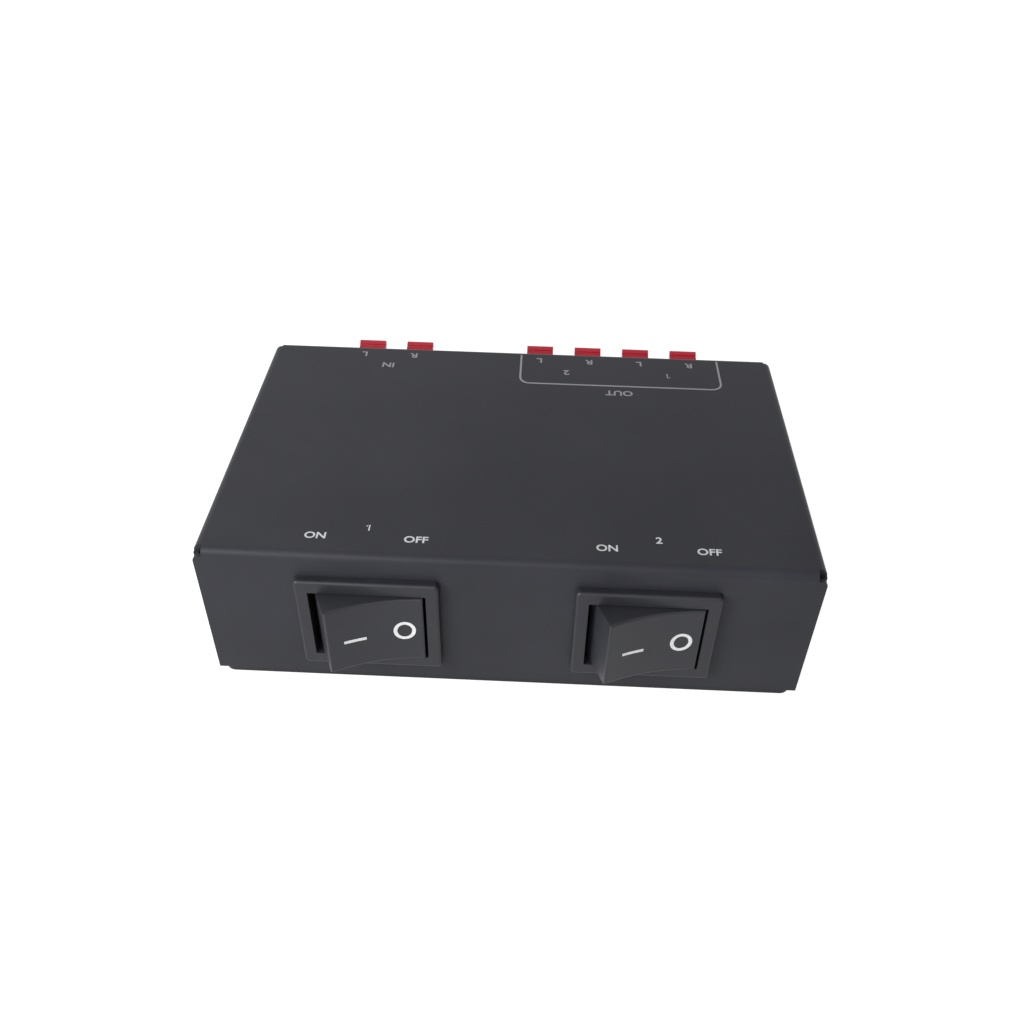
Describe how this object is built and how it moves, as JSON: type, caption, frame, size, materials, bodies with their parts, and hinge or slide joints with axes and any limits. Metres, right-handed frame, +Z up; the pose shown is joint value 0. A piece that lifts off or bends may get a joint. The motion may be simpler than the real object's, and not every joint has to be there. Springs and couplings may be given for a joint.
{
  "type": "speaker selector switch",
  "caption": "Low steel box with rocker switches in front and spring clip terminals behind, which sends one stereo amplifier to either or both speaker pairs.",
  "frame": {"origin": "on the surface that the feet stand on, under the middle of the box", "axes": "+X to the right seen from the front, +Y from the rockers to the terminals, +Z up"},
  "size_m": [0.133, 0.1, 0.04],
  "materials": {
    "cover_paint": "fine satin powder coat",
    "plate_paint": "satin paint",
    "foot_rubber": "matt rubber",
    "black_screw": "black zinc",
    "bezel_plastic": "fine spark texture",
    "rocker_plastic": "satin moulded",
    "block_plastic": "satin moulded",
    "red_lever_plastic": "semi-gloss moulded",
    "black_lever_plastic": "semi-gloss moulded",
    "tinned_brass": "tinned",
    "contact_copper": "rolled strip",
    "spring_steel": "bright",
    "zinc_steel": "zinc plated",
    "red_insulation": "PVC",
    "white_insulation": "PVC",
    "black_insulation": "PVC",
    "grey_insulation": "PVC"
  },
  "bodies": {
    "chassis": {"top_cover": "cover_paint", "bottom_plate": "plate_paint", "rubber_feet": "foot_rubber", "bottom_screws": "black_screw", "block_screws": "black_screw", "block_nuts": "zinc_steel", "input_block": "block_plastic", "output_block": "block_plastic", "input_tags": "tinned_brass", "output_tags": "tinned_brass", "left_plus_wires": "red_insulation", "right_plus_wires": "white_insulation", "left_minus_wires": "black_insulation", "right_minus_wires": "grey_insulation", "switch_housing_1": "bezel_plastic", "switch_terminals_1": "tinned_brass", "switch_housing_2": "bezel_plastic", "switch_terminals_2": "tinned_brass", "clamp_red_input_left": "spring_steel", "clamp_black_input_left": "spring_steel", "clamp_red_input_right": "spring_steel", "clamp_black_input_right": "spring_steel", "clamp_red_two_left": "spring_steel", "clamp_black_two_left": "spring_steel", "clamp_red_two_right": "spring_steel", "clamp_black_two_right": "spring_steel", "clamp_red_one_left": "spring_steel", "clamp_black_one_left": "spring_steel", "clamp_red_one_right": "spring_steel", "clamp_black_one_right": "spring_steel"},
    "rocker_body_1": {"rocker_1": "rocker_plastic", "plungers_1": "spring_steel", "plunger_springs_1": "spring_steel"},
    "contact_body_1": {"contact_arms_1": "contact_copper"},
    "rocker_body_2": {"rocker_2": "rocker_plastic", "plungers_2": "spring_steel", "plunger_springs_2": "spring_steel"},
    "contact_body_2": {"contact_arms_2": "contact_copper"},
    "red_input_left_body": {"red_lever_input_left": "red_lever_plastic"},
    "black_input_left_body": {"black_lever_input_left": "black_lever_plastic"},
    "red_input_right_body": {"red_lever_input_right": "red_lever_plastic"},
    "black_input_right_body": {"black_lever_input_right": "black_lever_plastic"},
    "red_two_left_body": {"red_lever_two_left": "red_lever_plastic"},
    "black_two_left_body": {"black_lever_two_left": "black_lever_plastic"},
    "red_two_right_body": {"red_lever_two_right": "red_lever_plastic"},
    "black_two_right_body": {"black_lever_two_right": "black_lever_plastic"},
    "red_one_left_body": {"red_lever_one_left": "red_lever_plastic"},
    "black_one_left_body": {"black_lever_one_left": "black_lever_plastic"},
    "red_one_right_body": {"red_lever_one_right": "red_lever_plastic"},
    "black_one_right_body": {"black_lever_one_right": "black_lever_plastic"}
  },
  "joints": [
    {"name": "rocker_1_tilt", "type": "hinge", "parent": "chassis", "child": "rocker_body_1", "pos_m": [-0.03, -0.0393, 0.021], "axis": [0, 0, -1], "range_deg": [0, 30]},
    {"name": "contacts_1_rock", "type": "hinge", "parent": "chassis", "child": "contact_body_1", "pos_m": [-0.03, -0.03008, 0.021], "axis": [0, 0, 1], "range_deg": [0, 15]},
    {"name": "rocker_2_tilt", "type": "hinge", "parent": "chassis", "child": "rocker_body_2", "pos_m": [0.03, -0.0393, 0.021], "axis": [0, 0, -1], "range_deg": [0, 30]},
    {"name": "contacts_2_rock", "type": "hinge", "parent": "chassis", "child": "contact_body_2", "pos_m": [0.03, -0.03008, 0.021], "axis": [0, 0, 1], "range_deg": [0, 15]},
    {"name": "red_input_left_press", "type": "hinge", "parent": "chassis", "child": "red_input_left_body", "pos_m": [-0.0418, 0.0395, 0.0315], "axis": [-1, 0, 0], "range_deg": [0, 18], "stiffness_Nm_per_rad": 0.05, "deforming": ["clamp_red_input_left"]},
    {"name": "black_input_left_press", "type": "hinge", "parent": "chassis", "child": "black_input_left_body", "pos_m": [-0.0418, 0.0395, 0.0105], "axis": [1, 0, 0], "range_deg": [0, 18], "stiffness_Nm_per_rad": 0.05, "deforming": ["clamp_black_input_left"]},
    {"name": "red_input_right_press", "type": "hinge", "parent": "chassis", "child": "red_input_right_body", "pos_m": [-0.0286, 0.0395, 0.0315], "axis": [-1, 0, 0], "range_deg": [0, 18], "stiffness_Nm_per_rad": 0.05, "deforming": ["clamp_red_input_right"]},
    {"name": "black_input_right_press", "type": "hinge", "parent": "chassis", "child": "black_input_right_body", "pos_m": [-0.0286, 0.0395, 0.0105], "axis": [1, 0, 0], "range_deg": [0, 18], "stiffness_Nm_per_rad": 0.05, "deforming": ["clamp_black_input_right"]},
    {"name": "red_two_left_press", "type": "hinge", "parent": "chassis", "child": "red_two_left_body", "pos_m": [0.0049, 0.0395, 0.0315], "axis": [-1, 0, 0], "range_deg": [0, 18], "stiffness_Nm_per_rad": 0.05, "deforming": ["clamp_red_two_left"]},
    {"name": "black_two_left_press", "type": "hinge", "parent": "chassis", "child": "black_two_left_body", "pos_m": [0.0049, 0.0395, 0.0105], "axis": [1, 0, 0], "range_deg": [0, 18], "stiffness_Nm_per_rad": 0.05, "deforming": ["clamp_black_two_left"]},
    {"name": "red_two_right_press", "type": "hinge", "parent": "chassis", "child": "red_two_right_body", "pos_m": [0.0181, 0.0395, 0.0315], "axis": [-1, 0, 0], "range_deg": [0, 18], "stiffness_Nm_per_rad": 0.05, "deforming": ["clamp_red_two_right"]},
    {"name": "black_two_right_press", "type": "hinge", "parent": "chassis", "child": "black_two_right_body", "pos_m": [0.0181, 0.0395, 0.0105], "axis": [1, 0, 0], "range_deg": [0, 18], "stiffness_Nm_per_rad": 0.05, "deforming": ["clamp_black_two_right"]},
    {"name": "red_one_left_press", "type": "hinge", "parent": "chassis", "child": "red_one_left_body", "pos_m": [0.0313, 0.0395, 0.0315], "axis": [-1, 0, 0], "range_deg": [0, 18], "stiffness_Nm_per_rad": 0.05, "deforming": ["clamp_red_one_left"]},
    {"name": "black_one_left_press", "type": "hinge", "parent": "chassis", "child": "black_one_left_body", "pos_m": [0.0313, 0.0395, 0.0105], "axis": [1, 0, 0], "range_deg": [0, 18], "stiffness_Nm_per_rad": 0.05, "deforming": ["clamp_black_one_left"]},
    {"name": "red_one_right_press", "type": "hinge", "parent": "chassis", "child": "red_one_right_body", "pos_m": [0.0445, 0.0395, 0.0315], "axis": [-1, 0, 0], "range_deg": [0, 18], "stiffness_Nm_per_rad": 0.05, "deforming": ["clamp_red_one_right"]},
    {"name": "black_one_right_press", "type": "hinge", "parent": "chassis", "child": "black_one_right_body", "pos_m": [0.0445, 0.0395, 0.0105], "axis": [1, 0, 0], "range_deg": [0, 18], "stiffness_Nm_per_rad": 0.05, "deforming": ["clamp_black_one_right"]}
  ],
  "couplings": [
    {"joint": "contacts_1_rock", "follows": "rocker_1_tilt", "ratio": 0.5},
    {"joint": "contacts_2_rock", "follows": "rocker_2_tilt", "ratio": 0.5}
  ]
}
